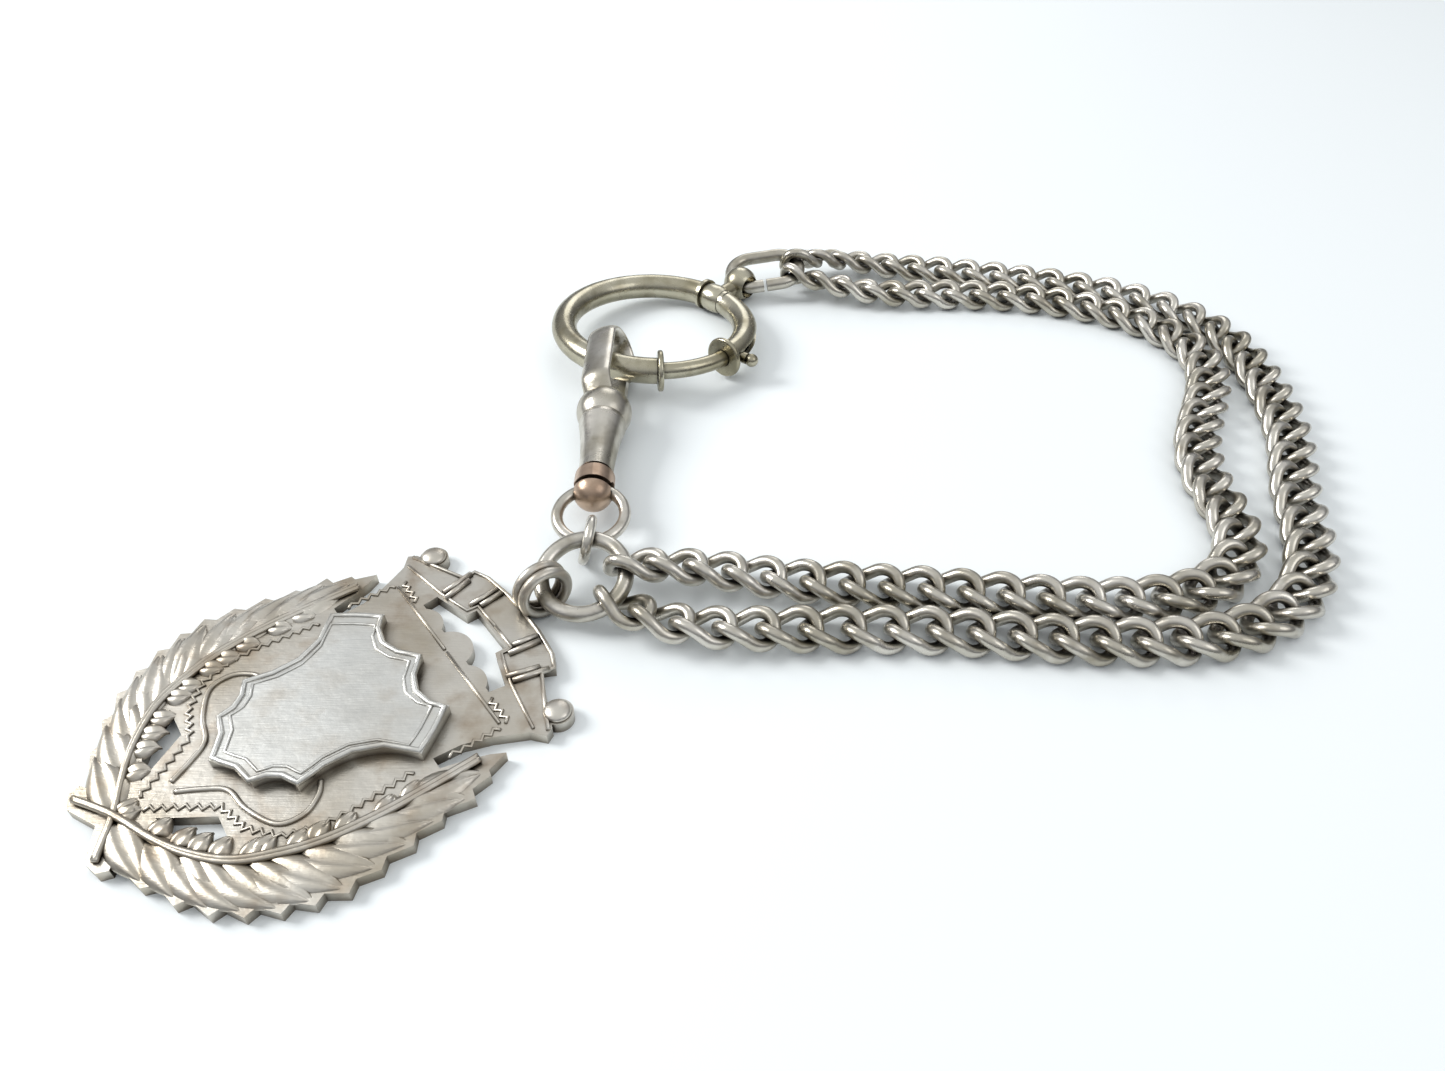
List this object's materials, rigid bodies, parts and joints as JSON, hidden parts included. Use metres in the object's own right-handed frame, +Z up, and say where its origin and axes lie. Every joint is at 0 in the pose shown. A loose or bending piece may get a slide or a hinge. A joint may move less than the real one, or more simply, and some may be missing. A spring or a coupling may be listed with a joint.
{
  "type": "pocket watch chain",
  "caption": "Double curb watch chain with a leaf and scroll fob medal, a spring-gate swivel clip and a spring bolt ring, laid out in a loop.",
  "frame": {"origin": "below the middle of the whole layout, on the table", "axes": "+X along the strands away from the fob, +Y from the near side to the far side, +Z up from the table"},
  "size_m": [0.1084, 0.0897, 0.0066],
  "materials": {
    "aged_silver": "aged, worn bright on the high parts",
    "pale_silver": "satin, finely scratched",
    "warm_silver": "aged, with an olive cast",
    "spring_steel": "plain"
  },
  "bodies": {
    "end_link": {"end_link": "aged_silver", "inner_far_0": "aged_silver", "outer_far_0": "aged_silver"},
    "inner_far_1": {"inner_far_1": "aged_silver"},
    "inner_far_2": {"inner_far_2": "aged_silver"},
    "inner_far_3": {"inner_far_3": "aged_silver"},
    "inner_bend": {"inner_bend_1": "aged_silver", "inner_bend_2": "aged_silver", "inner_bend_3": "aged_silver"},
    "inner_near_3": {"inner_near_3": "aged_silver"},
    "inner_near_2": {"inner_near_2": "aged_silver"},
    "inner_near_1": {"inner_near_1": "aged_silver"},
    "inner_near_0": {"inner_near_0": "aged_silver"},
    "outer_far_1": {"outer_far_1": "aged_silver"},
    "outer_far_2": {"outer_far_2": "aged_silver"},
    "outer_far_3": {"outer_far_3": "aged_silver"},
    "outer_bend": {"outer_bend_1": "aged_silver", "outer_bend_2": "aged_silver", "outer_bend_3": "aged_silver"},
    "outer_near_3": {"outer_near_3": "aged_silver"},
    "outer_near_2": {"outer_near_2": "aged_silver"},
    "outer_near_1": {"outer_near_1": "aged_silver"},
    "outer_near_0": {"outer_near_0": "aged_silver"},
    "large_ring": {"large_ring": "aged_silver"},
    "fob": {"fob_plate": "aged_silver", "cartouche": "pale_silver", "fob_bail": "aged_silver"},
    "joiner": {"joiner_link": "aged_silver"},
    "bolt_ring": {"long_tube": "warm_silver", "short_tube": "warm_silver", "left_flange": "warm_silver", "right_flange": "warm_silver", "ring_neck": "warm_silver", "bolt_spring": "spring_steel"},
    "collar": {"collar": "warm_silver"},
    "bolt": {"bolt": "warm_silver", "thumb_stud": "warm_silver"},
    "clip": {"clip_body": "aged_silver", "gate_pin": "aged_silver", "gate_spring": "spring_steel"},
    "gate": {"gate_lever": "aged_silver"},
    "swivel_eye": {"swivel_eye": "aged_silver", "stem_head": "aged_silver"},
    "swivel_ring": {"swivel_ring": "aged_silver"}
  },
  "joints": [
    {"name": "inner_far_fold_0", "type": "hinge", "parent": "end_link", "child": "inner_far_1", "pos_m": [0.01101, 0.01255, 0.0013], "axis": [0, -1, 0], "range_deg": [-4, 7]},
    {"name": "inner_far_fold_1", "type": "hinge", "parent": "inner_far_1", "child": "inner_far_2", "pos_m": [0.01771, 0.01255, 0.0013], "axis": [0, -1, 0], "range_deg": [-6, 10]},
    {"name": "inner_far_fold_2", "type": "hinge", "parent": "inner_far_2", "child": "inner_far_3", "pos_m": [0.02441, 0.01255, 0.0013], "axis": [0, -1, 0], "range_deg": [-6, 10]},
    {"name": "inner_far_fold_3", "type": "hinge", "parent": "inner_far_3", "child": "inner_bend", "pos_m": [0.03111, 0.01255, 0.0013], "axis": [0, -1, 0], "range_deg": [-4, 6]},
    {"name": "inner_near_fold_3", "type": "hinge", "parent": "inner_bend", "child": "inner_near_3", "pos_m": [0.03111, -0.01745, 0.0013], "axis": [0, -1, 0], "range_deg": [-6, 4]},
    {"name": "inner_near_fold_2", "type": "hinge", "parent": "inner_near_3", "child": "inner_near_2", "pos_m": [0.02441, -0.01745, 0.0013], "axis": [0, -1, 0], "range_deg": [-10, 6]},
    {"name": "inner_near_fold_1", "type": "hinge", "parent": "inner_near_2", "child": "inner_near_1", "pos_m": [0.01771, -0.01745, 0.0013], "axis": [0, -1, 0], "range_deg": [-10, 6]},
    {"name": "inner_near_fold_0", "type": "hinge", "parent": "inner_near_1", "child": "inner_near_0", "pos_m": [0.01101, -0.01745, 0.0013], "axis": [0, -1, 0], "range_deg": [-7, 4]},
    {"name": "outer_far_fold_0", "type": "hinge", "parent": "end_link", "child": "outer_far_1", "pos_m": [0.01101, 0.01255, 0.0013], "axis": [0, -1, 0], "range_deg": [-4, 7]},
    {"name": "outer_far_fold_1", "type": "hinge", "parent": "outer_far_1", "child": "outer_far_2", "pos_m": [0.01771, 0.01255, 0.0013], "axis": [0, -1, 0], "range_deg": [-6, 10]},
    {"name": "outer_far_fold_2", "type": "hinge", "parent": "outer_far_2", "child": "outer_far_3", "pos_m": [0.02441, 0.01255, 0.0013], "axis": [0, -1, 0], "range_deg": [-6, 10]},
    {"name": "outer_far_fold_3", "type": "hinge", "parent": "outer_far_3", "child": "outer_bend", "pos_m": [0.03111, 0.01255, 0.0013], "axis": [0, -1, 0], "range_deg": [-4, 6]},
    {"name": "outer_near_fold_3", "type": "hinge", "parent": "outer_bend", "child": "outer_near_3", "pos_m": [0.03111, -0.01745, 0.0013], "axis": [0, -1, 0], "range_deg": [-6, 4]},
    {"name": "outer_near_fold_2", "type": "hinge", "parent": "outer_near_3", "child": "outer_near_2", "pos_m": [0.02441, -0.01745, 0.0013], "axis": [0, -1, 0], "range_deg": [-10, 6]},
    {"name": "outer_near_fold_1", "type": "hinge", "parent": "outer_near_2", "child": "outer_near_1", "pos_m": [0.01771, -0.01745, 0.0013], "axis": [0, -1, 0], "range_deg": [-10, 6]},
    {"name": "outer_near_fold_0", "type": "hinge", "parent": "outer_near_1", "child": "outer_near_0", "pos_m": [0.01101, -0.01745, 0.0013], "axis": [0, -1, 0], "range_deg": [-7, 4]},
    {"name": "large_ring_turn", "type": "hinge", "parent": "inner_near_0", "child": "large_ring", "pos_m": [-0.01518, -0.01438, 0.00331], "axis": [-0.2412, 0.9358, 0.2573], "range_deg": [-1, 1]},
    {"name": "fob_swing", "type": "hinge", "parent": "large_ring", "child": "fob", "pos_m": [-0.0217, -0.01709, 0.00199], "axis": [-0.6046, 0.7965, 0], "range_deg": [0, 75]},
    {"name": "joiner_turn", "type": "hinge", "parent": "large_ring", "child": "joiner", "pos_m": [-0.01859, -0.01165, 0.00384], "axis": [-0.9965, 0.0549, -0.0626], "range_deg": [-1, 1]},
    {"name": "ring_swing", "type": "hinge", "parent": "end_link", "child": "bolt_ring", "pos_m": [-0.00475, 0.03687, 0.00206], "axis": [-0.2921, -0.9564, -0.0035], "range_deg": [-1, 1]},
    {"name": "collar_turn", "type": "hinge", "parent": "bolt_ring", "child": "collar", "pos_m": [-0.0078, 0.03343, 0.00194], "axis": [-0.748, 0.6637, -0.0022], "range_deg": [-0.5, 0.5]},
    {"name": "bolt_slide", "type": "hinge", "parent": "bolt_ring", "child": "bolt", "pos_m": [-0.01461, 0.02575, 0.00275], "axis": [0.0504, 0.0601, 0.9969], "range_deg": [0, 38], "stiffness_Nm_per_rad": 0.002, "deforming": ["bolt_spring"]},
    {"name": "clip_turn", "type": "hinge", "parent": "bolt_ring", "child": "clip", "pos_m": [-0.01891, 0.00805, 0.00312], "axis": [0, 0.9998, 0.0209], "range_deg": [-0.5, 0.5]},
    {"name": "gate_press", "type": "hinge", "parent": "clip", "child": "gate", "pos_m": [-0.01838, 0.00878, 0.00173], "axis": [0.9336, -0.0075, 0.3583], "range_deg": [0, 2.5], "stiffness_Nm_per_rad": 0.001, "deforming": ["gate_spring"]},
    {"name": "swivel_turn", "type": "hinge", "parent": "clip", "child": "swivel_eye", "pos_m": [-0.01891, -0.00405, 0.00287], "axis": [0, 0.9998, 0.0209], "range_deg": [-6, 6]},
    {"name": "swivel_ring_turn", "type": "hinge", "parent": "swivel_eye", "child": "swivel_ring", "pos_m": [-0.01891, -0.00405, 0.00287], "axis": [-1, 0, 0], "range_deg": [-1, 1]}
  ],
  "couplings": [
    {"joint": "inner_near_fold_3", "follows": "inner_far_fold_3", "ratio": -1},
    {"joint": "inner_near_fold_2", "follows": "inner_far_fold_2", "ratio": -1},
    {"joint": "inner_near_fold_1", "follows": "inner_far_fold_1", "ratio": -1},
    {"joint": "inner_near_fold_0", "follows": "inner_far_fold_0", "ratio": -1},
    {"joint": "outer_far_fold_0", "follows": "inner_far_fold_0", "ratio": 1},
    {"joint": "outer_far_fold_1", "follows": "inner_far_fold_1", "ratio": 1},
    {"joint": "outer_far_fold_2", "follows": "inner_far_fold_2", "ratio": 1},
    {"joint": "outer_far_fold_3", "follows": "inner_far_fold_3", "ratio": 1},
    {"joint": "outer_near_fold_3", "follows": "inner_far_fold_3", "ratio": -1},
    {"joint": "outer_near_fold_2", "follows": "inner_far_fold_2", "ratio": -1},
    {"joint": "outer_near_fold_1", "follows": "inner_far_fold_1", "ratio": -1},
    {"joint": "outer_near_fold_0", "follows": "inner_far_fold_0", "ratio": -1}
  ]
}
